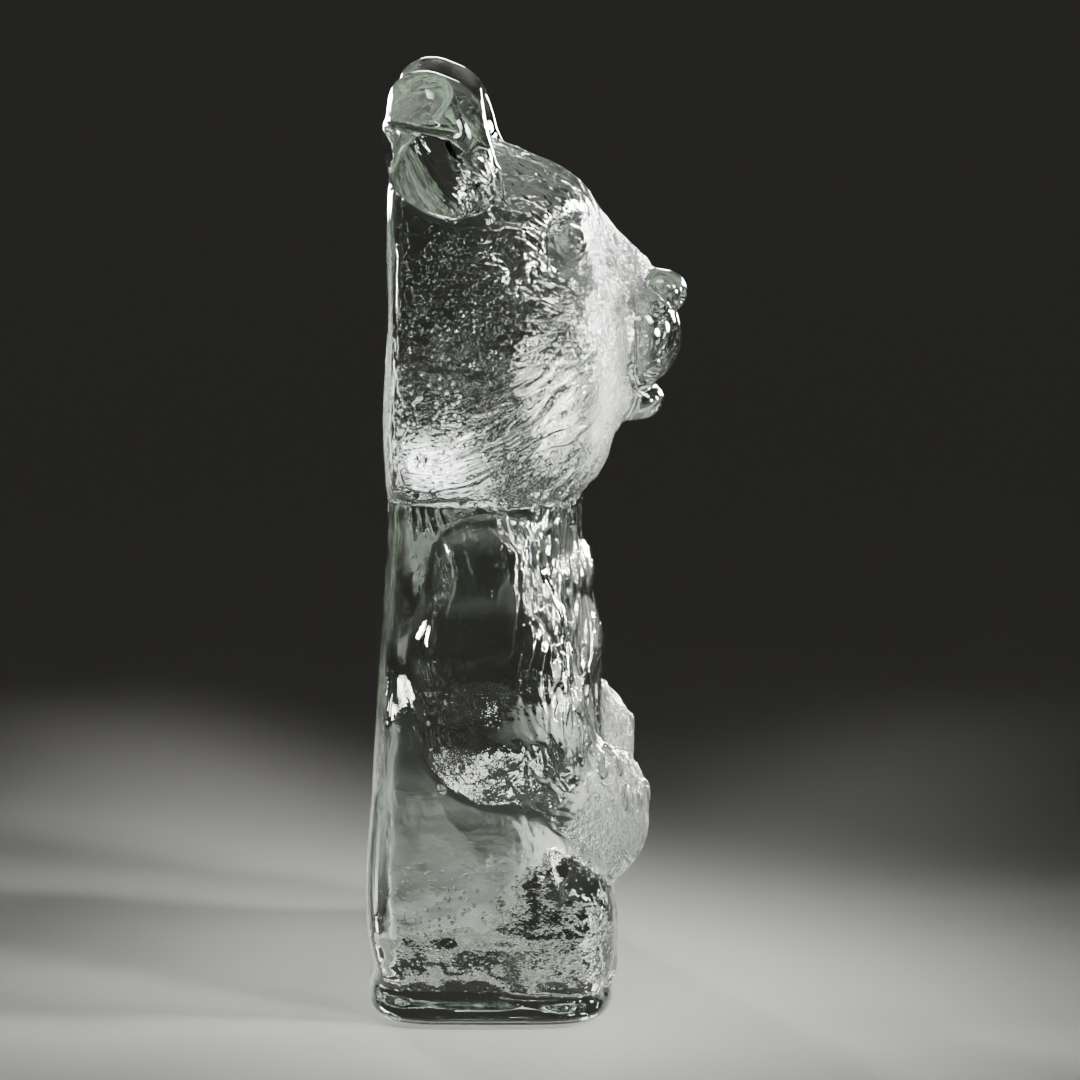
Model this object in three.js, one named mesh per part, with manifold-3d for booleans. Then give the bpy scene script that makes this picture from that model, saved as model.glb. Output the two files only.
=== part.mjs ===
// Pressed-glass bear figurine, seated upright, with a flat back and a flat foot.
// Millimetres, +Z up. The bear faces -Y, its right side is -X.
// Origin: centre of the bounding box in plan, on the surface it stands on.
import * as THREE from "three";
import { mergeVertices } from "three/addons/utils/BufferGeometryUtils.js";
import Module from "manifold-3d";

// ---------------------------------------------------------------- dimensions
const GAP = 0.3; // clearance between neighbouring masses

// Flat back: the height and the y of the back face there.
const BACK = {
  z: [0, 3, 5.5, 8, 12, 18, 34, 50, 66, 79, 86, 94, 106, 120, 138, 152],
  y: [25.0, 25.1, 25.1, 25.6, 26.2, 26.3, 25.1, 24.1, 22.9, 22.2, 22.5, 22.75, 22.2, 22.0, 22.3, 21.9],
};

// Body: half width, front face and the depth at which the side starts to turn forward.
const TORSO = {
  z: [-4, 0, 6, 20, 35, 50, 60, 68, 74, 79, 88],
  w: [34.0, 34.4, 34.8, 34.9, 34.0, 32.6, 31.6, 30.8, 30.0, 29.4, 29.0],
  front: [-8.5, -9.0, -10.5, -12.2, -12.4, -12.0, -11.5, -10.6, -9.0, -8.8, -8.8],
  side: [4, 4, 4, 4, 5, 6, 7, 8, 8, 8, 8],
};
const TORSO_POWER = 2.2;
// How square the two upright corners of the back are, from the foot to the head.
const BACK_CORNER = { z: [0, 12, 30, 80, 120], power: [4.4, 4.8, 5.8, 7.0, 7.5] };
const CROWN = { top: 139.4, round: 7, arch: 0.0085 }; // arch: fall per mm of x squared

// Head without muzzle, from the neck to the crown.
const HEAD = {
  z: [74, 80, 83, 87, 92, 98, 105, 112, 118, 122, 126, 130, 133, 135.5, 137.4, 138.6],
  w: [27, 29.0, 31.2, 33.8, 36.0, 37.3, 37.7, 37.2, 36.2, 35.3, 34.1, 32.6, 31.2, 29.8, 28.8, 28.0],
  front: [-8.2, -8.5, -11.0, -13.0, -13.8, -13.9, -13.2, -12.2, -11.4, -11.0, -10.3, -8.0, -3.6, 1.6, 6.6, 12.0],
  side: [8, 8, 9, 10, 11, 12, 12, 12, 12, 12, 12, 12, 12.5, 13, 13.5, 14],
};
const HEAD_POWER = 2.1;
const FACE = { c: [0, -8.5, 105.5], r: [23, 8.9, 14], p: 2 }; // the face narrows to the muzzle
const CHIN = { c: [0, -11.4, 97], r: [11.5, 7, 5.6], p: 2 };
const BRIDGE = { a: [0, -2.0, 124.6], b: [0, -12.6, 114.8], c: [0, -19.6, 112.6], ra: 7.3, rb: 6.9, rc: 3.9 };

const MUZZLE = { c: [0, -13.4, 105.8], r: [14.2, 11.6, 9.4], p: 2.2 };
const NOSE = { c: [0, -21.4, 112.7], r: [6.2, 4.45, 3.6], p: 2.2 };
const LOWER_LIP = { c: [0, -16.2, 95.2], r: [7.2, 6.0, 3.5], p: 2.2 };
const EYE = { c: [20.2, -7.0, 122.2], r: [3.0, 2.5, 2.5], p: 2 };

const EAR = { c: [25.4, 13.2, 137.0], r: [12.4, 9.8, 13.0], p: 1.95, lean: 0.23 };
const EAR_DISH = { c: [23.8, 0.4, 139.0], r: [8.2, 7.6, 8.8] };

// Arms: centre line and radius from shoulder to wrist, then the paw.
const ARM = [
  { c: [23.4, 7.0, 71.0], r: 10.2 },
  { c: [24.8, 6.4, 58.0], r: 12.4 },
  { c: [24.6, 4.6, 46.0], r: 13.4 },
  { c: [21.2, -1.4, 36.4], r: 11.4 },
];
const ARM_BACK_Y = 19.5; // the arm's mass ends here, inside the body
const PAW_RIGHT = { c: [17.6, -10.0, 30.6], r: [10.6, 9.6, 11.2], p: 2.2 };
const PAW_LEFT_LIFT = 3.8; // the left arm lies this much higher across the belly
const PAW_LEFT_BACK = 1.8; // and that much less far forward

const LEG = { c: [20.6, -4.2, 12.8], r: [16.6, 10.1, 13.0], p: 2.5 };
const LEG_BACK_Y = 7.5;

const BASE_TOP = 3.2;
const BASE = { halfWidth: 38.2, front: -14.0, back: 25.4, power: 5.0, edge: 2.4 };
const NECK_Z = 82.0;
const NECK_SLOPE = 0.06; // the crease under the head rises this much per mm towards the back

const GLASS = { color: 0xdfeae5, roughness: 0.05, metalness: 0 };

// ------------------------------------------------------------ scalar helpers
// Monotone cubic through a table of heights and values.
function curve(xs, ys) {
  const n = xs.length,
    d = [],
    m = new Array(n).fill(0);
  for (let i = 0; i < n - 1; i++) d.push((ys[i + 1] - ys[i]) / (xs[i + 1] - xs[i]));
  m[0] = d[0];
  m[n - 1] = d[n - 2];
  for (let i = 1; i < n - 1; i++)
    m[i] = d[i - 1] * d[i] <= 0 ? 0 : (2 * d[i - 1] * d[i]) / (d[i - 1] + d[i]);
  return (x) => {
    if (x <= xs[0]) return ys[0];
    if (x >= xs[n - 1]) return ys[n - 1];
    let i = 0;
    while (x > xs[i + 1]) i++;
    const h = xs[i + 1] - xs[i],
      t = (x - xs[i]) / h,
      t2 = t * t,
      t3 = t2 * t;
    return (
      (2 * t3 - 3 * t2 + 1) * ys[i] +
      (t3 - 2 * t2 + t) * h * m[i] +
      (3 * t2 - 2 * t3) * ys[i + 1] +
      (t3 - t2) * h * m[i + 1]
    );
  };
}
const backY = curve(BACK.z, BACK.y);
const cornerPower = curve(BACK_CORNER.z, BACK_CORNER.power);

// Smooth union of two distances.
const blend = (a, b, k) => {
  const h = Math.max(k - Math.abs(a - b), 0) / k;
  return Math.min(a, b) - h * h * k * 0.25;
};

// Upright mass with a D-shaped section: flat towards the back, curved towards the front.
function upright(table, power, top, bottom) {
  const w = curve(table.z, table.w),
    f = curve(table.z, table.front),
    s = curve(table.z, table.side);
  return (x, y, z) => {
    const W = w(z),
      F = f(z),
      S = s(z),
      B = backY(z);
    const u = Math.abs(x) / W;
    const forward = y < S;
    const n = forward ? power : cornerPower(z);
    const v = forward ? (S - y) / (S - F) : (y - S) / (B - S);
    const r = Math.pow(Math.pow(u, n) + Math.pow(v, n), 1 / n);
    const d = (r - 1) * Math.min(W, S - F);
    return Math.max(-blend(-d, top - CROWN.arch * x * x - z, CROWN.round), bottom - z);
  };
}
const lump = (q) => (x, y, z) => {
  const n = q.p ?? 2,
    r = Math.pow(
      Math.pow(Math.abs(x - q.c[0]) / q.r[0], n) +
        Math.pow(Math.abs(y - q.c[1] - (q.lean ?? 0) * (z - q.c[2])) / q.r[1], n) +
        Math.pow(Math.abs(z - q.c[2]) / q.r[2], n),
      1 / n,
    );
  return (r - 1) * Math.min(...q.r);
};
// Round limb between two balls.
const limb = (a, b, ra, rb) => (x, y, z) => {
  const ax = b[0] - a[0],
    ay = b[1] - a[1],
    az = b[2] - a[2];
  let t =
    ((x - a[0]) * ax + (y - a[1]) * ay + (z - a[2]) * az) / (ax * ax + ay * ay + az * az);
  t = Math.min(1, Math.max(0, t));
  return (
    Math.hypot(x - a[0] - t * ax, y - a[1] - t * ay, z - a[2] - t * az) - (ra + (rb - ra) * t)
  );
};

// ---------------------------------------------------------------- the masses
const headCore = upright(HEAD, HEAD_POWER, CROWN.top, 70);
const brow = limb(BRIDGE.a, BRIDGE.b, BRIDGE.ra, BRIDGE.rb);
const noseRoot = limb(BRIDGE.b, BRIDGE.c, BRIDGE.rb, BRIDGE.rc);
const faceCone = lump(FACE),
  chin = lump(CHIN);
const head = (x, y, z) =>
  blend(
    blend(blend(headCore(x, y, z), faceCone(x, y, z), 5), chin(x, y, z), 3),
    Math.min(brow(x, y, z), noseRoot(x, y, z)),
    4.5,
  );
const torso = upright(TORSO, TORSO_POWER, 120, -8);
const ear = (q, dish) => {
  const whole = lump(q),
    hollow = lump(dish);
  return (x, y, z) => -blend(-whole(x, y, z), hollow(x, y, z), 3);
};
const armField = (side, lift, back) => (x, y, z) => {
  let d = 1e9;
  for (let i = 0; i + 1 < ARM.length; i++) {
    const k0 = i / (ARM.length - 1),
      k1 = (i + 1) / (ARM.length - 1);
    const a = ARM[i],
      b = ARM[i + 1];
    const l = limb(
      [side * a.c[0], a.c[1] + back * k0, a.c[2] + lift * k0],
      [side * b.c[0], b.c[1] + back * k1, b.c[2] + lift * k1],
      a.r,
      b.r,
    );
    d = d > 1e8 ? l(x, y, z) : blend(d, l(x, y, z), 4);
  }
  return d;
};

// --------------------------------------------------------------- solid making
const wasm = await Module();
wasm.setup();

// A ball of triangles whose points are moved out along their own ray to the mass's surface.
function ballOn(field, centre, detail, stretch = [1, 1, 1], grow = 0) {
  const g = new THREE.IcosahedronGeometry(1, detail);
  g.deleteAttribute("normal");
  g.deleteAttribute("uv");
  const m = mergeVertices(g, 1e-5);
  const p = m.getAttribute("position");
  const v = new THREE.Vector3(),
    n = new THREE.Vector3();
  for (let i = 0; i < p.count; i++) {
    v.fromBufferAttribute(p, i);
    v.set(v.x * stretch[0], v.y * stretch[1], v.z * stretch[2]).normalize();
    const at = (t) => field(centre[0] + v.x * t, centre[1] + v.y * t, centre[2] + v.z * t);
    let lo = 0,
      hi = 0.5;
    while (at(hi) < 0 && hi < 200) {
      lo = hi;
      hi += 0.5;
    }
    for (let k = 0; k < 30; k++) {
      const mid = (lo + hi) / 2;
      if (at(mid) < 0) lo = mid;
      else hi = mid;
    }
    const x = centre[0] + v.x * hi,
      y = centre[1] + v.y * hi,
      z = centre[2] + v.z * hi;
    const e = 0.05;
    n.set(
      field(x + e, y, z) - field(x - e, y, z),
      field(x, y + e, z) - field(x, y - e, z),
      field(x, y, z + e) - field(x, y, z - e),
    ).normalize();
    p.setXYZ(i, x + n.x * grow, y + n.y * grow, z + n.z * grow);
  }
  return m;
}
function solid(geometry) {
  const g = geometry.index ? geometry.toNonIndexed() : geometry.clone();
  for (const name of Object.keys(g.attributes)) if (name !== "position") g.deleteAttribute(name);
  const m = mergeVertices(g, 1e-4);
  return new wasm.Manifold(
    new wasm.Mesh({
      numProp: 3,
      vertProperties: m.getAttribute("position").array,
      triVerts: new Uint32Array(m.index.array),
    }),
  );
}
function geometryOf(s) {
  const m = s.getMesh(),
    v = new Float32Array(m.numVert * 3);
  for (let i = 0; i < m.numVert; i++)
    v.set(m.vertProperties.subarray(i * m.numProp, i * m.numProp + 3), i * 3);
  const g = new THREE.BufferGeometry();
  g.setAttribute("position", new THREE.BufferAttribute(v, 3));
  g.setIndex(new THREE.BufferAttribute(new Uint32Array(m.triVerts), 1));
  g.computeVertexNormals();
  return g;
}
// Everything on one side of a level, as a block.
function block(x0, x1, y0, y1, z0, z1, tilt = 0, about = null) {
  const g = new THREE.BoxGeometry(x1 - x0, y1 - y0, z1 - z0);
  g.translate((x0 + x1) / 2, (y0 + y1) / 2, (z0 + z1) / 2);
  if (tilt) {
    g.translate(-about[0], -about[1], -about[2]);
    g.rotateX(tilt);
    g.translate(about[0], about[1], about[2]);
  }
  return solid(g);
}
const FAR = 120;
const tilt = Math.atan(NECK_SLOPE);
const aboveNeck = block(-FAR, FAR, -FAR, FAR, NECK_Z + GAP / 2, 220, tilt, [0, 0, NECK_Z]);
const belowNeck = block(-FAR, FAR, -FAR, FAR, -50, NECK_Z - GAP / 2, tilt, [0, 0, NECK_Z]);
const aboveBase = block(-FAR, FAR, -FAR, FAR, BASE_TOP + GAP, 220);

// Face.
const noseSolid = solid(ballOn(lump(NOSE), NOSE.c, 3));
const noseSeat = solid(ballOn(lump(NOSE), NOSE.c, 3, [1, 1, 1], GAP));
const lipSolid = solid(ballOn(lump(LOWER_LIP), LOWER_LIP.c, 3));
const lipSeat = solid(ballOn(lump(LOWER_LIP), LOWER_LIP.c, 3, [1, 1, 1], GAP));
const muzzleWhole = solid(ballOn(lump(MUZZLE), MUZZLE.c, 4));
const muzzleSeat = solid(ballOn(lump(MUZZLE), MUZZLE.c, 4, [1, 1, 1], GAP));
const muzzleSolid = muzzleWhole.subtract(noseSeat).subtract(lipSeat);

const eyeOf = (side) => {
  const q = { ...EYE, c: [side * EYE.c[0], EYE.c[1], EYE.c[2]] };
  return [solid(ballOn(lump(q), q.c, 2)), solid(ballOn(lump(q), q.c, 2, [1, 1, 1], GAP))];
};
const [eyeRight, eyeRightSeat] = eyeOf(-1);
const [eyeLeft, eyeLeftSeat] = eyeOf(1);

const backFace = (y, below = -20, above = 170) =>
  block(-FAR, FAR, -FAR, y, below, above);
const earOf = (side, grow) => {
  const q = { ...EAR, c: [side * EAR.c[0], EAR.c[1], EAR.c[2]] };
  const dish = { ...EAR_DISH, c: [side * EAR_DISH.c[0], EAR_DISH.c[1], EAR_DISH.c[2]] };
  const s = solid(ballOn(ear(q, dish), [q.c[0], q.c[1] + 2.5, q.c[2] - 1], 4, [1, 1, 1], grow));
  return s
    .intersect(backFace(backY(140) + grow * 4));
};
const earRight = earOf(-1, 0),
  earLeft = earOf(1, 0);

const headSolid = solid(ballOn(head, [0, 7, 108], 8, [1, 0.8, 1]))
  .intersect(aboveNeck)
  .subtract(muzzleSeat)
  .subtract(noseSeat)
  .subtract(lipSeat)
  .subtract(eyeRightSeat)
  .subtract(eyeLeftSeat)
  .subtract(earOf(-1, GAP))
  .subtract(earOf(1, GAP));

// Arms and paws.
const pawOf = (side, lift, back) => ({
  ...PAW_RIGHT,
  c: [side * PAW_RIGHT.c[0], PAW_RIGHT.c[1] + back, PAW_RIGHT.c[2] + lift],
});
const limbs = (side, lift, back) => {
  const q = pawOf(side, lift, back);
  const paw = solid(ballOn(lump(q), q.c, 3));
  const pawSeat = solid(ballOn(lump(q), q.c, 3, [1, 1, 1], GAP));
  const field = armField(side, lift, back);
  const c = [side * 24.2, 6.5, 53 + lift / 2];
  const front = (y) => block(-FAR, FAR, -FAR, y, -20, 170);
  const arm = solid(ballOn(field, c, 4, [1, 1, 1.4]))
    .intersect(front(ARM_BACK_Y))
    .subtract(pawSeat);
  const armSeat = solid(ballOn(field, c, 4, [1, 1, 1.4], GAP)).intersect(front(ARM_BACK_Y + GAP));
  return { paw, pawSeat, arm, armSeat };
};
const right = limbs(-1, 0, 0);
const left = limbs(1, PAW_LEFT_LIFT, PAW_LEFT_BACK);

// Legs.
const legOf = (side) => {
  const q = { ...LEG, c: [side * LEG.c[0], LEG.c[1], LEG.c[2]] };
  const whole = solid(ballOn(lump(q), q.c, 4)),
    seat = solid(ballOn(lump(q), q.c, 4, [1, 1, 1], GAP));
  const l = side < 0 ? right : left;
  return [
    whole
      .intersect(aboveBase)
      .intersect(block(-FAR, FAR, -FAR, LEG_BACK_Y, -20, 170))
      .subtract(l.armSeat)
      .subtract(l.pawSeat),
    seat.intersect(block(-FAR, FAR, -FAR, LEG_BACK_Y + GAP, -20, 170)),
  ];
};
const [legRight, legRightSeat] = legOf(-1);
const [legLeft, legLeftSeat] = legOf(1);

const torsoSolid = solid(ballOn(torso, [0, 7, 42], 7, [1, 0.8, 1]))
  .intersect(belowNeck)
  .intersect(aboveBase)
  .subtract(right.armSeat)
  .subtract(right.pawSeat)
  .subtract(left.armSeat)
  .subtract(left.pawSeat)
  .subtract(legRightSeat)
  .subtract(legLeftSeat);

// Foot: a slab of superellipse outline under body and legs, with a fire-polished lower edge.
const outline = new THREE.Shape();
{
  const w = BASE.halfWidth - BASE.edge,
    d = (BASE.back - BASE.front) / 2 - BASE.edge,
    yc = (BASE.back + BASE.front) / 2,
    e = 2 / BASE.power,
    steps = 56;
  for (let i = 0; i < steps; i++) {
    const a = (2 * Math.PI * i) / steps,
      c = Math.cos(a),
      s = Math.sin(a);
    const x = w * Math.sign(c) * Math.pow(Math.abs(c), e),
      y = yc + d * Math.sign(s) * Math.pow(Math.abs(s), e);
    if (i) outline.lineTo(x, y);
    else outline.moveTo(x, y);
  }
  outline.closePath();
}
const slab = new THREE.ExtrudeGeometry(outline, {
  depth: BASE_TOP,
  bevelEnabled: true,
  bevelThickness: BASE.edge,
  bevelSize: BASE.edge,
  bevelSegments: 3,
  curveSegments: 1,
});
slab.translate(0, 0, BASE.edge);
const baseSolid = solid(slab).intersect(block(-FAR, FAR, -FAR, FAR, -10, BASE_TOP));

// ---------------------------------------------------------------- the figure
const group = new THREE.Group();
function node(name, s) {
  const mesh = new THREE.Mesh(geometryOf(s), new THREE.MeshStandardMaterial(GLASS));
  mesh.name = name;
  group.add(mesh);
}
node("base", baseSolid);
node("torso", torsoSolid);
node("leg_right", legRight);
node("leg_left", legLeft);
node("arm_right", right.arm);
node("arm_left", left.arm);
node("paw_right", right.paw);
node("paw_left", left.paw);
node("head", headSolid);
node("ear_right", earRight);
node("ear_left", earLeft);
node("muzzle", muzzleSolid);
node("nose", noseSolid);
node("lower_lip", lipSolid);
node("eye_right", eyeRight);
node("eye_left", eyeLeft);

export default group;
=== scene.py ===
import math

import bpy
import numpy as np
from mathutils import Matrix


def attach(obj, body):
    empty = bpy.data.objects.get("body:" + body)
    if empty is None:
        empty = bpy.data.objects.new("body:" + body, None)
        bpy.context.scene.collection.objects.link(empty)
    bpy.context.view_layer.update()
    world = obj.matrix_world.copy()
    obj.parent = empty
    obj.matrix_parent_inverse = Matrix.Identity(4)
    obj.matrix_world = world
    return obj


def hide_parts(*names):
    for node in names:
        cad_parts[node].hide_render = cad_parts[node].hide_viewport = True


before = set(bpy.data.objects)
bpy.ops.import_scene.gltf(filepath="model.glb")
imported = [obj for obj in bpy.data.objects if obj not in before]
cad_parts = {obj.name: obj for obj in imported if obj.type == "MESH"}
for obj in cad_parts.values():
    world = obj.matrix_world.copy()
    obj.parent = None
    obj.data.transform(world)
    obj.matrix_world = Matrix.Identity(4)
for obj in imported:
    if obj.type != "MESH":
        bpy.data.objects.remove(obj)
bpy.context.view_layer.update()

import openvdb

# Pressed-glass bear, seated, flat back. Fields are in millimetres in the CAD frame; the mesh goes out in metres.
VOXEL = 0.38
F32 = np.float32

# ------------------------------------------------------------------ tables (as in the CAD)
BACK_Z = [0, 3, 5.5, 8, 12, 18, 34, 50, 66, 79, 86, 94, 106, 120, 132, 137, 140.0, 141.2, 142.4, 152]
BACK_Y = [25.0, 25.1, 25.1, 25.6, 26.2, 26.3, 25.1, 24.1, 22.9, 22.2, 22.5, 22.75, 22.2, 22.0, 22.0, 22.3, 22.5, 22.4, 21.95, 21.9]
TORSO = dict(
    z=[-4, 0, 6, 20, 35, 50, 60, 68, 74, 79, 88],
    w=[34.0, 34.4, 34.8, 34.9, 34.0, 32.6, 31.6, 30.8, 30.0, 29.4, 29.0],
    front=[-8.5, -9.0, -10.5, -12.2, -12.4, -11.6, -11.0, -10.0, -8.8, -8.7, -8.8],
    side=[4, 4, 4, 4, 5, 6, 7, 8, 8, 8, 8],
)
HEAD = dict(
    z=[74, 80, 83, 87, 92, 98, 105, 112, 118, 122, 126, 130, 133, 135.5, 137.4, 138.6],
    w=[27, 29.0, 31.2, 33.8, 36.0, 37.3, 37.7, 37.2, 36.2, 35.3, 34.1, 32.6, 31.2, 29.8, 28.8, 28.0],
    front=[-8.2, -8.5, -11.0, -13.0, -13.8, -13.9, -13.2, -12.2, -11.4, -11.0, -10.3, -8.0, -3.6, 1.6, 6.6, 12.0],
    side=[8, 8, 9, 10, 11, 12, 12, 12, 12, 12, 12, 12, 12.5, 13, 13.5, 14],
)
ARM = [((23.4, 7.0, 71.0), 10.2), ((24.8, 6.4, 58.0), 12.4), ((24.6, 4.6, 46.0), 13.4), ((21.2, -1.4, 36.4), 11.4)]
PAW = ((17.6, -10.0, 30.6), (10.6, 9.6, 11.2), 2.2)
LEFT_LIFT, LEFT_BACK = 3.8, 1.8
LEG = ((20.6, -4.2, 12.8), (16.6, 10.1, 13.0), 2.5)
BASE = dict(half=38.2, front=-14.0, back=25.4, power=5.0)
MUZZLE = ((0, -13.4, 105.8), (14.2, 11.6, 9.4), 2.2)
NOSE = ((0, -21.4, 112.7), (6.2, 4.45, 3.6), 2.2)
LIP = ((0, -16.2, 95.2), (7.2, 6.0, 3.5), 2.2)
EYE = ((20.2, -7.0, 122.2), (3.0, 2.5, 2.5), 2.0)
EAR = ((25.4, 13.2, 137.0), (12.4, 9.8, 13.0), 1.95)
EAR_LEAN = 0.23
DISH = ((23.8, 0.4, 139.0), (8.2, 7.6, 8.8), 2.0)


def curve(xs, ys, x):
    """Monotone cubic through a table, for an array x."""
    xs, ys = np.asarray(xs, float), np.asarray(ys, float)
    d = np.diff(ys) / np.diff(xs)
    m = np.zeros(len(xs))
    m[0], m[-1] = d[0], d[-1]
    for i in range(1, len(xs) - 1):
        m[i] = 0 if d[i - 1] * d[i] <= 0 else 2 * d[i - 1] * d[i] / (d[i - 1] + d[i])
    x = np.clip(np.asarray(x, float), xs[0], xs[-1])
    i = np.clip(np.searchsorted(xs, x, side="right") - 1, 0, len(xs) - 2)
    h = xs[i + 1] - xs[i]
    t = (x - xs[i]) / h
    return (
        (2 * t**3 - 3 * t**2 + 1) * ys[i]
        + (t**3 - 2 * t**2 + t) * h * m[i]
        + (3 * t**2 - 2 * t**3) * ys[i + 1]
        + (t**3 - t**2) * h * m[i + 1]
    )


def smin(a, b, k):
    h = np.maximum(k - np.abs(a - b), 0) / k
    return np.minimum(a, b) - h * h * (k * 0.25)


def smax(a, b, k):
    return -smin(-a, -b, k)


def step(a, b, x):
    t = np.clip((x - a) / (b - a), 0, 1)
    return t * t * (3 - 2 * t)


# ------------------------------------------------------------------ the grid
LO = np.array([-43.0, -30.0, -4.0])
HI = np.array([43.0, 30.0, 154.0])
N = np.ceil((HI - LO) / VOXEL).astype(int) + 1
AX = [(LO[i] + VOXEL * np.arange(N[i])).astype(F32) for i in range(3)]


def upright(t, power, top, Z0, Z1):
    """D-section mass on the slab of heights Z0..Z1."""
    z = AX[2]
    W = curve(t["z"], t["w"], z).astype(F32)[None, None, :]
    Fr = curve(t["z"], t["front"], z).astype(F32)[None, None, :]
    S = curve(t["z"], t["side"], z).astype(F32)[None, None, :]
    B = curve(BACK_Z, BACK_Y, z).astype(F32)[None, None, :]
    n = curve([0, 12, 30, 80, 120], [4.4, 4.8, 5.8, 7.0, 7.5], z).astype(F32)[None, None, :]
    X, Y = np.abs(AX[0])[:, None, None], AX[1][None, :, None]
    lo, hi = np.searchsorted(z, Z0), np.searchsorted(z, Z1)
    sl = slice(lo, hi)
    W, Fr, S, B, n = (q[:, :, sl] for q in (W, Fr, S, B, n))
    u = X / W
    fwd = Y < S
    v = np.where(fwd, (S - Y) / (S - Fr), (Y - S) / (B - S))
    p = np.where(fwd, F32(power), n)
    r = (u**p + v**p) ** (1 / p)
    d = (r - 1) * np.minimum(W, S - Fr)
    if top is not None:
        d = smax(d, z[None, None, sl] + F32(0.0085) * X * X - F32(top), F32(7))
    return sl, d.astype(F32)


D = np.full(N, 30, F32)


def region(c, r, pad):
    out = []
    for i in range(3):
        a = max(0, int((c[i] - r[i] - pad - LO[i]) / VOXEL))
        b = min(N[i], int((c[i] + r[i] + pad - LO[i]) / VOXEL) + 2)
        out.append(slice(a, b))
    return tuple(out)


def at(sl):
    return AX[0][sl[0]][:, None, None], AX[1][sl[1]][None, :, None], AX[2][sl[2]][None, None, :]


def lump_d(c, r, p, x, y, z, turn=None):
    dx, dy, dz = x - F32(c[0]), y - F32(c[1]), z - F32(c[2])
    if turn is not None:
        m = turn
        dx, dy, dz = (
            m[0][0] * dx + m[0][1] * dy + m[0][2] * dz,
            m[1][0] * dx + m[1][1] * dy + m[1][2] * dz,
            m[2][0] * dx + m[2][1] * dy + m[2][2] * dz,
        )
    q = (np.abs(dx) / F32(r[0])) ** F32(p) + (np.abs(dy) / F32(r[1])) ** F32(p) + (np.abs(dz) / F32(r[2])) ** F32(p)
    return (q ** F32(1 / p) - 1) * F32(min(r))


def turn_to(axis_long, roll=0.0):
    """Rows of a rotation whose third local axis lies along axis_long."""
    w = np.array(axis_long, float)
    w /= np.linalg.norm(w)
    h = np.array([1.0, 0, 0]) if abs(w[0]) < 0.8 else np.array([0, 1.0, 0])
    u = h - w * (h @ w)
    u /= np.linalg.norm(u)
    v = np.cross(w, u)
    c, s = math.cos(roll), math.sin(roll)
    u, v = c * u + s * v, -s * u + c * v
    return [[F32(q) for q in row] for row in (u, v, w)]


def add(c, r, p=2.0, k=1.0, turn=None, cut=False):
    big = max(r) if turn is not None else None
    rr = (big,) * 3 if big else r
    sl = region(c, rr, k + 3)
    x, y, z = at(sl)
    d = lump_d(c, r, p, x, y, z, turn)
    D[sl] = smax(D[sl], -d, F32(k)) if cut else smin(D[sl], d, F32(k))


def limb_d(a, b, ra, rb, x, y, z):
    ax, ay, az = (b[i] - a[i] for i in range(3))
    L = ax * ax + ay * ay + az * az
    t = np.clip(((x - a[0]) * ax + (y - a[1]) * ay + (z - a[2]) * az) / L, 0, 1).astype(F32)
    return np.sqrt((x - a[0] - t * ax) ** 2 + (y - a[1] - t * ay) ** 2 + (z - a[2] - t * az) ** 2) - (ra + (rb - ra) * t)


def add_limb(a, b, ra, rb, k, cut=False):
    c = [(a[i] + b[i]) / 2 for i in range(3)]
    r = [abs(a[i] - b[i]) / 2 + max(ra, rb) for i in range(3)]
    sl = region(c, r, k + 3)
    x, y, z = at(sl)
    d = limb_d(a, b, ra, rb, x, y, z).astype(F32)
    D[sl] = smax(D[sl], -d, F32(k)) if cut else smin(D[sl], d, F32(k))


def arm_points(side):
    lift, back = (LEFT_LIFT, LEFT_BACK) if side > 0 else (0, 0)
    out = []
    for i, (c, r) in enumerate(ARM):
        k = i / (len(ARM) - 1)
        out.append(((side * c[0], c[1] + back * k, c[2] + lift * k), r))
    return out


def paw_centre(side):
    lift, back = (LEFT_LIFT, LEFT_BACK) if side > 0 else (0, 0)
    return (side * PAW[0][0], PAW[0][1] + back, PAW[0][2] + lift)


def both(c, side):
    return (side * c[0], c[1], c[2])


# Body.
sl, d = upright(TORSO, 2.2, None, -20, 90)
D[:, :, sl] = d
for side in (-1, 1):
    # arm
    pts = arm_points(side)
    xs = region(both((24, 5, 55), side), (16, 20, 34), 4)
    x, y, z = at(xs)
    arm = None
    for (a, ra), (b, rb) in zip(pts[:-1], pts[1:]):
        q = limb_d(a, b, ra, rb, x, y, z).astype(F32)
        arm = q if arm is None else smin(arm, q, F32(4))
    c = paw_centre(side)
    paw = lump_d(c, PAW[1], PAW[2], x, y, z)
    arm = smin(arm, paw, F32(3.5))
    D[xs] = smin(D[xs], arm, F32(1.1))
    # leg
    add(both(LEG[0], side), LEG[1], LEG[2], 3.0)
# Chest: two soft swells one above the other.
add((0, -6.4, 67.6), (15, 4.3, 4.6), 2, 1.6)
add((0, -7.2, 54.0), (17, 4.8, 9.0), 2, 1.8)

# Head.
slh, h = upright(HEAD, 2.1, 139.4, 70, 160)
# the head overhangs the neck: it is cut off by a gently rising plane
y3, z3 = AX[1][None, :, None], AX[2][None, None, slh]
h = smax(h, (F32(81.0) + F32(0.08) * y3) - z3, F32(2.2))
D[:, :, slh] = smin(D[:, :, slh], h, F32(0.9))
add_limb((0, -2.0, 124.6), (0, -12.6, 114.8), 7.3, 6.9, 4.5)
add_limb((0, -12.6, 114.8), (0, -19.6, 112.6), 6.9, 3.9, 1.5)
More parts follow.
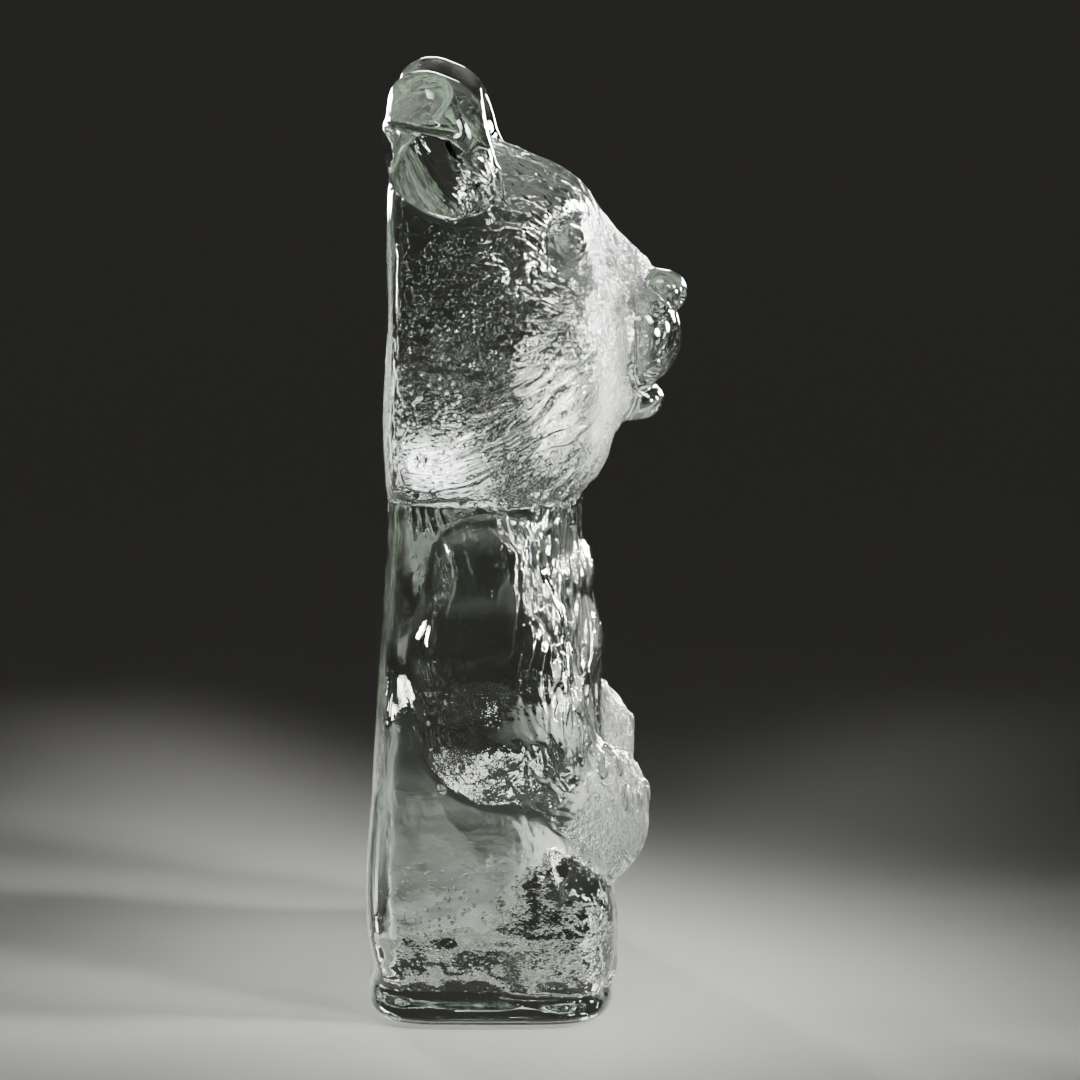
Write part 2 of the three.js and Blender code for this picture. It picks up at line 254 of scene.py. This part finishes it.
# the face narrows to the muzzle, and the chin carries the lower lip
add((0, -8.5, 105.5), (23, 8.9, 14.0), 2, 5.0)
add((0, -11.4, 97.0), (11.5, 7.0, 5.6), 2, 3.0)
add(*MUZZLE[:2], MUZZLE[2], 1.6)
for side in (-1, 1):
    # cheek pads, brow, eye with its socket
    add(both((20.5, -3.0, 103.0), side), (13, 9.5, 14), 2, 4.0)
    add(both((24.6, -7.6, 122.4), side), (5.0, 5.4, 4.7), 2, 1.0, cut=True)
    add(both(EYE[0], side), EYE[1], 2, 0.5)
    add_limb(both((10.4, -7.6, 127.0), side), both((21.5, -4.4, 127.0), side), 1.5, 1.3, 2.0)
    add_limb(both((16.6, -9.4, 119.2), side), both((21.8, -9.9, 115.2), side), 0.9, 1.1, 1.0)
    add_limb(both((21.8, -9.9, 115.2), side), both((25.4, -8.6, 111.4), side), 1.1, 0.7, 1.0)
    # ear
    e = region(both(EAR[0], side), EAR[1], 5)
    x, y, z = at(e)
    whole = lump_d(both(EAR[0], side), EAR[1], EAR[2], x, y - F32(EAR_LEAN) * (z - F32(EAR[0][2])), z)
    # the dome of the ear stands back a little from the ledge round its root
    ledge = F32(139.8) + F32(0.16) * (y - 12)
    whole = whole + F32(0.45) * step(-0.2, 1.0, z - ledge) * step(9.0, 13.0, y)
    whole = smax(whole, (y - curve(BACK_Z, BACK_Y, AX[2][e[2]]).astype(F32)[None, None, :]), F32(1.6))
    whole = smax(whole, -lump_d(both(DISH[0], side), DISH[1], 2, x, y, z), F32(2.4))
    D[e] = smin(D[e], whole, F32(0.8))
add(*NOSE[:2], NOSE[2], 0.7)
add(*LIP[:2], LIP[2], 0.9)
# mouth: philtrum under the nose, then the two sides of the mouth
add_limb((0, -26.4, 110.2), (0, -25.8, 102.5), 0.8, 0.8, 0.8, cut=True)
for side in (-1, 1):
    add_limb((0, -25.2, 101.6), both((6.2, -23.2, 99.4), side), 0.7, 0.6, 0.7, cut=True)
    add_limb(both((6.2, -23.2, 99.4), side), both((10.4, -19.6, 100.6), side), 0.6, 0.4, 0.7, cut=True)
    add(both((2.9, -25.3, 112.0), side), (1.1, 1.3, 0.8), 2, 0.6, cut=True)
# Front edge of each arm: a crease down from the shoulder to the wrist.
EDGE = [(27.4, -0.6, 78.0), (29.6, -1.3, 72.8), (32.6, -2.3, 65.0), (32.3, -4.8, 60.9), (31.0, -6.6, 56.0), (27.6, -10.0, 48.0), (22.6, -13.0, 42.6)]
# Paws: finger pads with an oval claw each, on the outer front of the paw; feet: four toes.
CLAWS = [((25.7, -12.2, 38.9), (1.6, 0.85, 2.0)), ((23.5, -14.7, 38.6), (1.6, 0.85, 1.9)), ((25.2, -15.6, 34.0), (1.5, 0.9, 2.5)),
         ((23.0, -17.5, 33.4), (1.4, 0.9, 2.4)), ((18.6, -18.7, 33.6), (1.0, 1.2, 2.5))]
TOES = (-0.80, -0.30, 0.22, 0.72)


def claw(i, side):
    c = paw_centre(side)
    (x, y, z), r = CLAWS[i]
    return (c[0] + side * (x - PAW[0][0]), c[1] + y - PAW[0][1], c[2] + z - PAW[0][2]), r


for side in (-1, 1):
    lift = LEFT_LIFT if side > 0 else 0.0
    for j, (a, b) in enumerate(zip(EDGE[:-1], EDGE[1:])):
        k0, k1 = j / 6, (j + 1) / 6
        add_limb((side * a[0], a[1] + 0.25 * k0 * lift, a[2] + lift * k0), (side * b[0], b[1] + 0.25 * k1 * lift, b[2] + lift * k1), 0.75, 0.75, 0.5, cut=True)
    for i in range(len(CLAWS)):
        q, r = claw(i, side)
        add((q[0] - side * 1.4, q[1] + 1.5, q[2] - 1.6), (2.0, 1.8, 3.8), 2, 0.8)
    for i in range(len(CLAWS)):
        q, r = claw(i, side)
        add(q, r, 2, 0.25)
    c = both(LEG[0], side)
    for i, a in enumerate(TOES):
        fx = c[0] + side * 14.6 * math.sin(a)
        fy = c[1] - 9.6 * math.cos(a * 0.92)
        add((fx, fy + 1.9, c[2] - 4.4), (3.5, 2.6, 5.4), 2, 0.8)
# Foot slab, then a flat underside with a fire-polished edge.
yc, yh = (BASE["front"] + BASE["back"]) / 2, (BASE["back"] - BASE["front"]) / 2
q = (np.abs(AX[0]) / F32(BASE["half"]))[:, None, None] ** F32(BASE["power"]) + (np.abs(AX[1] - F32(yc)) / F32(yh))[None, :, None] ** F32(BASE["power"])
slab = (q ** F32(1 / BASE["power"]) - 1) * F32(yh)
hz = np.searchsorted(AX[2], 12)
slab = smax(slab, AX[2][None, None, :hz] - F32(3.2), F32(2.5))
D[:, :, :hz] = smin(D[:, :, :hz], slab, F32(1.8))
D[:, :, :hz] = smax(D[:, :, :hz], -AX[2][None, None, :hz], F32(1.7))

# ------------------------------------------------------------------ field -> mesh
grid = openvdb.FloatGrid(5.0)
grid.copyFromArray(np.clip(D, -5, 5))
pts, quads = grid.convertToQuads(isovalue=0.0)[:2]
pts = np.asarray(pts, float)
quads = np.asarray(quads)


def sample(G, q):
    """Trilinear value of a grid array at points q, in grid units."""
    q = np.clip(q, 0, np.array(G.shape) - 1.001)
    i = q.astype(int)
    t = q - i
    out = 0
    for a in (0, 1):
        for b in (0, 1):
            for c in (0, 1):
                w = (t[:, 0] if a else 1 - t[:, 0]) * (t[:, 1] if b else 1 - t[:, 1]) * (t[:, 2] if c else 1 - t[:, 2])
                out = out + w * G[i[:, 0] + a, i[:, 1] + b, i[:, 2] + c]
    return out


def gradient(G, q, e=0.75):
    g = np.empty_like(q)
    for i in range(3):
        o = np.zeros(3)
        o[i] = e
        g[:, i] = (sample(G, q + o) - sample(G, q - o)) / (2 * e)
    return g


for _ in range(3):
    f = sample(D, pts)
    g = gradient(D, pts)
    pts -= g * (f / np.maximum((g * g).sum(1), 1e-6))[:, None]
P = LO + pts * VOXEL


def triangles_normals(P, quads):
    a, b, c, d = (P[quads[:, i]] for i in range(4))
    n = np.cross(c - a, d - b)
    out = np.zeros_like(P)
    for i in range(4):
        np.add.at(out, quads[:, i], n)
    return out / np.maximum(np.linalg.norm(out, axis=1), 1e-12)[:, None]


# outward faces
n = np.cross(P[quads[:, 2]] - P[quads[:, 0]], P[quads[:, 3]] - P[quads[:, 1]])
mid = P[quads].mean(1)
if (n * mid).sum() < 0:
    quads = quads[:, ::-1]

# neighbours, for smoothing values over the surface
edges = np.concatenate([quads[:, [0, 1]], quads[:, [1, 2]], quads[:, [2, 3]], quads[:, [3, 0]]])
edges = np.concatenate([edges, edges[:, ::-1]])
count = np.bincount(edges[:, 0], minlength=len(P)).astype(float)


def relax(v, times, amount=0.5):
    for _ in range(times):
        if v.ndim == 1:
            s = np.bincount(edges[:, 0], v[edges[:, 1]], minlength=len(P)) / count
        else:
            s = np.stack([np.bincount(edges[:, 0], v[edges[:, 1], i], minlength=len(P)) / count for i in range(3)], 1)
        v = v + amount * (s - v)
    return v


# take out the grid's own ripple, without shrinking
P = relax(P, 2, 0.5)
P = relax(P, 2, -0.52)
Nn = triangles_normals(P, quads)
Nn = relax(Nn, 2)
Nn /= np.linalg.norm(Nn, axis=1)[:, None]

# ------------------------------------------------------------------ where the surface is smooth
x, y, z = P.T
ax = np.abs(x)
side_of = np.where(x < 0, -1.0, 1.0)
yb = curve(BACK_Z, BACK_Y, z)


def d_lump(c, r, p=2.0, sym=True):
    X = ax if sym else x
    q = (np.abs(X - c[0]) / r[0]) ** p + (np.abs(y - c[1]) / r[1]) ** p + (np.abs(z - c[2]) / r[2]) ** p
    return (q ** (1 / p) - 1) * min(r)


back_side = step(0.35, 0.8, Nn[:, 1])
rim = step(yb - 4.2, yb - 1.4, y)
smooth = np.maximum(back_side, rim)
smooth = np.maximum(smooth, 1 - step(2.2, 6.5, z))
ear_zone = np.maximum(step(138.6, 140.6, z), 1 - step(0.2, 1.4, d_lump(*EAR[:2], EAR[2]))) * step(133.5, 137.5, z)
smooth = np.maximum(smooth, ear_zone)
# behind the temple the head is unfurred
edge_y = curve([118, 123, 128, 133, 139, 150], [21.0, 14.0, 11.0, 9.6, 9.6, 9.0], z)
smooth = np.maximum(smooth, step(0, 2.0, y - edge_y) * step(119.5, 124, z))
smooth = np.maximum(smooth, 1 - step(0.05, 0.9, d_lump(*NOSE[:2], 2.2)))
smooth = np.maximum(smooth, 1 - step(0.05, 0.9, d_lump(*LIP[:2], 2.2)))
smooth = np.maximum(smooth, 1 - step(0.05, 0.7, d_lump(*EYE[:2], 2.0)))
smooth = np.maximum(smooth, (1 - step(0.1, 1.6, d_lump(*MUZZLE[:2], 2.2))) * (1 - step(-17.5, -14.0, y)) * (1 - step(111.5, 114.5, z)))
for sd in (-1, 1):
    for i in range(len(CLAWS)):
        q, r = claw(i, sd)
        e = ((x - q[0]) / r[0]) ** 2 + ((y - q[1]) / r[1]) ** 2 + ((z - q[2]) / r[2]) ** 2
        smooth = np.maximum(smooth, 1 - step(1.0, 1.5, np.sqrt(e)))
fur = 1 - smooth

# short, near-frosted coat on face, muzzle root and paws
stipple = np.exp(-((d_lump((9, -12, 106), (12, 7, 13), 2.0) / 4.0) ** 2))
stipple = np.maximum(stipple, step(-9, -13, y) * (1 - step(118, 124, z)) * step(84, 90, z))
for s in (-1, 1):
    c = paw_centre(s)
    q = np.sqrt((x - c[0]) ** 2 + (y - c[1]) ** 2 + (z - c[2]) ** 2)
    stipple = np.maximum(stipple, 1 - step(9, 14, q))
stipple *= fur

# ------------------------------------------------------------------ pressed fur: noise smeared along the coat
rng = np.random.RandomState(7)
TILE = 48
noise_grid = rng.rand(TILE, TILE, TILE).astype(F32)


def noise(p, cell, shift):
    q = p / cell + shift
    i = np.floor(q).astype(np.int64)
    t = (q - i).astype(F32)
    t = t * t * (3 - 2 * t)
    out = 0
    for a in (0, 1):
        for b in (0, 1):
            for c in (0, 1):
                w = (t[:, 0] if a else 1 - t[:, 0]) * (t[:, 1] if b else 1 - t[:, 1]) * (t[:, 2] if c else 1 - t[:, 2])
                out = out + w * noise_grid[(i[:, 0] + a) % TILE, (i[:, 1] + b) % TILE, (i[:, 2] + c) % TILE]
    return out


def wave(p, cell, shift):
    """Three slow noises as a vector, about -1..1."""
    return np.stack([noise(p, cell, shift + 11.3 * i) * 2 - 1 for i in range(3)], 1)


ARM_P = {s: [np.array(c) for c, _ in arm_points(s)] + [np.array(paw_centre(s))] for s in (-1, 1)}


def coat(p):
    """The way the coat lies at p: away from the nose on the head, down the body, along the arms, out over the feet."""
    head = p - np.array([0, -24.0, 110.0])
    head[:, 2] *= 0.9
    head[:, 0] *= 0.8
    head /= np.linalg.norm(head, axis=1)[:, None] + 1e-9
    body = np.zeros_like(p)
    body[:, 2] = -1
    body[:, 0] = 0.010 * p[:, 0]
    s = np.where(p[:, 0] < 0, -1, 1)
    arm = np.zeros_like(p)
    near = np.full(len(p), 1e9)
    for sd in (-1, 1):
        q = ARM_P[sd]
        for a, b in zip(q[:-1], q[1:]):
            ab = b - a
            t = np.clip(((p - a) @ ab) / (ab @ ab), 0, 1)
            dist = np.linalg.norm(p - a - t[:, None] * ab, axis=1)
            m = (dist < near) & (s == sd)
            arm[m] = ab / np.linalg.norm(ab)
            near[m] = dist[m]
    w_arm = (1 - step(11.0, 16.5, near)) * step(17.0, 24.0, p[:, 2])
    foot = np.stack([0.55 * s, -0.25 + 0 * s, -0.75 + 0 * s], 1)
    foot[:, 0] += 0.02 * (p[:, 0] - 20 * s)
    w_foot = (1 - step(19.0, 25.0, p[:, 2])) * (1 - step(2, 9, p[:, 1]))
    out = body * (1 - w_arm)[:, None] + arm * w_arm[:, None]
    out = out * (1 - w_foot)[:, None] + foot * w_foot[:, None]
    w_head = step(80.5, 83.5, p[:, 2] - 0.08 * p[:, 1])
    out = out * (1 - w_head)[:, None] + head * w_head[:, None]
    out += 0.35 * wave(p, 11.0, 3.7)
    return out / (np.linalg.norm(out, axis=1)[:, None] + 1e-9)


lay = coat(P)
lay -= Nn * (lay * Nn).sum(1)[:, None]
lay /= np.linalg.norm(lay, axis=1)[:, None] + 1e-9
furred = np.where(fur > 0.02)[0]


def smear(cell, length, shift, tick):
    """Noise drawn out along the lay of the coat: strands about cell wide, 2 x length long."""
    p0, v = P[furred], lay[furred]
    total = noise(p0, cell, shift)
    steps = max(2, int(length / tick))
    for sign in (1, -1):
        for i in range(1, steps + 1):
            total = total + (1 - i / (steps + 1)) * noise(p0 + (sign * tick * i) * v, cell, shift)
    total = (total - total.mean()) / total.std()
    out = np.zeros(len(P))
    out[furred] = total
    return out


def strands(s, sharp):
    """Rounded strands with a narrow groove between them."""
    return 0.55 * np.tanh(0.9 * s) - 0.75 * np.exp(-((s / sharp) ** 2)) + 0.25


tufts = smear(2.3, 6.0, 0.0, 0.9)
locks = smear(1.45, 4.5, 9.5, 0.7)
hairs = smear(0.95, 3.2, 20.5, 0.6)
dots = noise(P, 0.85, 41.0) - 0.5
lumps = noise(P, 2.4, 51.0) - 0.5
broad = noise(P, 6.5, 61.0) - 0.5

facing = np.clip(-Nn[:, 1], 0, 1)
on_head = step(81.5, 84.0, z - 0.08 * y)
front = step(0.08, 0.50, facing)
# how deep the strands are pressed, in mm, region by region
jaw = on_head * (1 - step(101, 109, z)) * (1 - step(6.0, 15.0, y))
temple = step(112, 117, z) * (1 - step(127.5, 131, z)) * (1 - step(8.0, 13.0, y))
crown = step(126, 131, z)
head_depth = 0.20 + 0.48 * jaw + 0.42 * temple + 0.42 * crown
shoulder = step(62, 74, z)
body_depth = (0.10 + 0.16 * shoulder) * (1 - front) + 0.50 * front
w_foot = (1 - step(24.0, 27.0, z)) * step(2.5, 6.0, z)
body_depth = body_depth * (1 - 0.75 * w_foot)
depth = np.clip(on_head * head_depth + (1 - on_head) * body_depth, 0, 0.70)
relief = 0.55 * strands(tufts, 0.42) * (0.35 + 0.65 * on_head) + 0.55 * strands(locks, 0.42) + 0.25 * strands(hairs, 0.5)
height = fur * (1 - 0.85 * stipple) * depth * relief
height += fur * stipple * 0.26 * dots * 2
height += fur * (0.30 + 0.35 * (1 - on_head) * (1 - front)) * broad
height += fur * (0.10 + 0.22 * w_foot + 0.35 * temple + 0.12 * front) * lumps
crease = np.exp(-(((z - 82.2 - 0.08 * y) / 1.5) ** 2)) * fur
height += crease * 0.7 * (noise(P, 1.5, 71.0) - 0.5)
height += (1 - fur) * (0.06 * broad)
# how far the surface is pitted by the mould
pits = fur * (1 - stipple) * np.clip(on_head * (0.85 - 0.45 * jaw - 0.35 * temple - 0.4 * crown) + (1 - on_head) * (0.07 + 0.10 * front + 0.40 * w_foot), 0, 1)
flat_foot = step(0.0, 1.0, z)
P2 = P + Nn * (height * flat_foot)[:, None]
P2[:, 2] = np.maximum(P2[:, 2], 0.0)

# ------------------------------------------------------------------ gas seeds: little cavities inside the glass
verts = [P2]
faces = [quads]
SEEDS = [
    (-31.0, 13.2, 37.2, 0.85, 0.95, 0.95), (-32.6, 3.9, 18.8, 0.75, 0.8, 0.75), (6.0, 19.5, 22.0, 0.35, 0.35, 0.5),
    (-8.0, 20.5, 14.0, 0.25, 0.25, 0.35), (10.0, 17.0, 17.5, 0.4, 0.35, 0.4), (-3.0, 15.0, 42.0, 0.28, 0.28, 0.4),
    (16.0, 11.0, 31.0, 0.3, 0.3, 0.45), (-22.0, 15.5, 112.0, 0.22, 0.22, 0.3), (4.0, 6.0, 60.0, 0.25, 0.25, 0.4),
]


def seed(c, r):
    """A closed ball of quads, facing inwards, as a hollow in the glass does."""
    n = 6
    out, fs = {}, []
    key = lambda v: tuple(np.round(v, 6))
    vs = []

    def vid(v):
        v = v / np.linalg.norm(v)
        k = key(v)
        if k not in out:
            out[k] = len(vs)
            vs.append(v)
        return out[k]

    for axis in range(3):
        for sg in (-1, 1):
            for i in range(n):
                for j in range(n):
                    q = []
                    for a, b in ((i, j), (i + 1, j), (i + 1, j + 1), (i, j + 1)):
                        v = np.zeros(3)
                        v[axis] = sg
                        v[(axis + 1) % 3] = math.tan((2 * a / n - 1) * math.pi / 4)
                        v[(axis + 2) % 3] = math.tan((2 * b / n - 1) * math.pi / 4)
                        q.append(vid(v))
                    fs.append(q[::-1] if sg > 0 else q)
    return np.array(c) + np.array(vs) * np.array(r), np.array(fs)


for cx, cy, cz, rx, ry, rz in SEEDS:
    v, f = seed((cx, cy, cz), (rx, ry, rz))
    faces.append(f + sum(len(q) for q in verts))
    verts.append(v)
V = np.concatenate(verts) / 1000.0
Q = np.concatenate(faces)

mesh = bpy.data.meshes.new("bear_glass")
mesh.vertices.add(len(V))
mesh.vertices.foreach_set("co", V.astype(F32).ravel())
mesh.loops.add(len(Q) * 4)
mesh.loops.foreach_set("vertex_index", Q.astype(np.int32).ravel())
mesh.polygons.add(len(Q))
mesh.polygons.foreach_set("loop_start", (np.arange(len(Q)) * 4).astype(np.int32))
mesh.polygons.foreach_set("loop_total", np.full(len(Q), 4, np.int32))
mesh.polygons.foreach_set("use_smooth", np.ones(len(Q), bool))
mesh.update(calc_edges=True)
mesh.validate()


def attribute(name, values):
    v = np.zeros(len(V), F32)
    v[: len(values)] = values
    a = mesh.attributes.new(name, "FLOAT", "POINT")
    a.data.foreach_set("value", v)


attribute("coat", fur)
attribute("grain", stipple)
attribute("pits", pits)
bear = bpy.data.objects.new("bear_glass", mesh)
bpy.context.collection.objects.link(bear)


# ------------------------------------------------------------------ glass
def glass():
    m = bpy.data.materials.new("clear_pressed_glass")
    m.use_nodes = True
    nt = m.node_tree
    nt.nodes.clear()
    N_, L = nt.nodes.new, nt.links.new
    out = N_("ShaderNodeOutputMaterial")
    b = N_("ShaderNodeBsdfPrincipled")
    b.inputs["Base Color"].default_value = (0.985, 0.995, 0.99, 1)
    b.inputs["Metallic"].default_value = 0.0
    b.inputs["IOR"].default_value = 1.52
    b.inputs["Transmission Weight"].default_value = 1.0
    tc = N_("ShaderNodeTexCoord")
    coat_a = N_("ShaderNodeAttribute"); coat_a.attribute_name = "coat"
    grain_a = N_("ShaderNodeAttribute"); grain_a.attribute_name = "grain"
    pits_a = N_("ShaderNodeAttribute"); pits_a.attribute_name = "pits"

    def calc(op, *values):
        n = N_("ShaderNodeMath"); n.operation = op
        for i, v in enumerate(values):
            if isinstance(v, (int, float)):
                n.inputs[i].default_value = v
            else:
                L(v, n.inputs[i])
        return n.outputs[0]

    def texture(scale, detail, rough=0.5):
        n = N_("ShaderNodeTexNoise")
        n.inputs["Scale"].default_value, n.inputs["Detail"].default_value, n.inputs["Roughness"].default_value = scale, detail, rough
        L(tc.outputs["Object"], n.inputs["Vector"])
        return n.outputs["Fac"]

    def ramp(v, a, b_, c=0.0, d=1.0):
        n = N_("ShaderNodeMapRange"); n.interpolation_type = "SMOOTHSTEP"
        for k, q in zip(("From Min", "From Max", "To Min", "To Max"), (a, b_, c, d)):
            n.inputs[k].default_value = q
        L(v, n.inputs["Value"])
        return n.outputs["Result"]

    C, G = coat_a.outputs["Fac"], grain_a.outputs["Fac"]
    # roughness: fire-polished skin, slightly duller in the pressed coat and the grain, with faint handling marks
    r = calc("MULTIPLY_ADD", G, 0.22, calc("MULTIPLY_ADD", C, 0.012, 0.004))
    L(calc("MULTIPLY", r, ramp(texture(420, 4), 0.3, 0.7, 0.85, 1.35)), b.inputs["Roughness"])
    # fine grain of the mould on face, jaw and paws, and scattered pits under the coat
    grain = calc("MULTIPLY", texture(1250, 2, 0.6), calc("MULTIPLY_ADD", G, 4.2, calc("MULTIPLY", C, 0.22)))
    cells = N_("ShaderNodeTexVoronoi"); cells.inputs["Scale"].default_value = 950
    L(tc.outputs["Object"], cells.inputs["Vector"])
    pits = calc("MULTIPLY", ramp(cells.outputs["Distance"], 0.10, 0.34, 1.0, 0.0), calc("MULTIPLY", pits_a.outputs["Fac"], 0.9))
    bump = N_("ShaderNodeBump"); bump.inputs["Distance"].default_value = 0.00022
    bump.inputs["Strength"].default_value = 1.0
    L(calc("ADD", grain, pits), bump.inputs["Height"])
    L(bump.outputs["Normal"], b.inputs["Normal"])
    va = N_("ShaderNodeVolumeAbsorption")
    va.inputs["Color"].default_value = (0.77, 0.90, 0.78, 1)
    va.inputs["Density"].default_value = 8.0
    L(b.outputs[0], out.inputs["Surface"])
    L(va.outputs[0], out.inputs["Volume"])
    return m


mesh.materials.append(glass())
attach(bear, "root")
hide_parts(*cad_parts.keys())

# ------------------------------------------------------------------ stage
def plain(name, color, rough):
    m = bpy.data.materials.new(name)
    m.use_nodes = True
    b = m.node_tree.nodes["Principled BSDF"]
    b.inputs["Base Color"].default_value = (*color, 1)
    b.inputs["Roughness"].default_value = rough
    return m


fm = bpy.data.meshes.new("floor")
R = 8.0
fm.from_pydata([(-R, -R, 0), (R, -R, 0), (R, R, 0), (-R, R, 0)], [], [(0, 1, 2, 3)])
floor = bpy.data.objects.new("floor", fm)
floor.location = (0, 0, -0.0002)
fm.materials.append(plain("floor_pale", (0.58, 0.58, 0.56), 0.5))
bpy.context.collection.objects.link(floor)

world = bpy.data.worlds.new("studio")
bpy.context.scene.world = world
world.use_nodes = True
world.node_tree.nodes["Background"].inputs["Color"].default_value = (0.036, 0.035, 0.033, 1)
world.node_tree.nodes["Background"].inputs["Strength"].default_value = 1.0


def softbox(name, at_, to, size, power, spread=180, color=(1, 1, 1)):
    l = bpy.data.lights.new(name, "AREA")
    l.shape = "RECTANGLE"
    l.size, l.size_y = size
    l.energy = power
    l.color = color
    l.spread = math.radians(spread)
    o = bpy.data.objects.new(name, l)
    from mathutils import Vector
    o.location = at_
    o.rotation_euler = (Vector(to) - Vector(at_)).to_track_quat("-Z", "Y").to_euler()
    bpy.context.collection.objects.link(o)
    return o


WARM, COOL = (1.0, 0.985, 0.94), (0.98, 1.0, 0.98)
softbox("top", (-0.02, -0.02, 0.45), (-0.02, -0.02, 0), (0.10, 0.10), 0.018, 24)
softbox("front", (-0.06, -0.36, 0.32), (-0.01, 0, 0.08), (0.08, 0.20), 0.085, 20)
softbox("front_near", (-0.18, -0.25, 0.42), (-0.01, 0, 0.09), (0.10, 0.14), 0.040, 20)
# low boxes on either side and behind: they light the grain of face, jaw and paws and pass over the floor
softbox("front_low", (-0.03, -0.46, 0.16), (-0.01, 0, 0.11), (0.08, 0.12), 0.18, 14, WARM)
softbox("front_far", (0.20, -0.42, 0.17), (0.0, 0, 0.11), (0.08, 0.12), 0.09, 14, WARM)
softbox("rim_front", (0.34, -0.27, 0.19), (0.0, 0, 0.11), (0.06, 0.12), 0.12, 14, WARM)
softbox("rim_back", (0.34, 0.27, 0.19), (0.0, 0, 0.11), (0.06, 0.12), 0.22, 14, COOL)
softbox("behind_low", (-0.02, 0.46, 0.17), (-0.01, 0, 0.10), (0.06, 0.14), 0.09, 14, COOL)
softbox("far_top", (0.55, 0.0, 0.235), (0.0, 0, 0.10), (0.24, 0.05), 0.030, 14)
softbox("far_front", (0.50, -0.20, 0.13), (0.0, 0, 0.09), (0.05, 0.16), 0.06, 14, WARM)
softbox("far_back", (0.50, 0.20, 0.13), (0.0, 0, 0.09), (0.05, 0.16), 0.19, 14, WARM)

# ------------------------------------------------------------------ camera: from the bear's right side, a little above
cam_d = bpy.data.cameras.new("camera")
cam_d.lens = 144.5
cam_d.sensor_width = 36
cam = bpy.data.objects.new("camera", cam_d)
pitch = math.radians(8.78)
cam.location = (-0.700, -0.00205, 0.180)
# looking along +X, pitched down
cam.rotation_euler = (math.pi / 2 - pitch, 0, -math.pi / 2)
bpy.context.collection.objects.link(cam)
bpy.context.scene.camera = cam
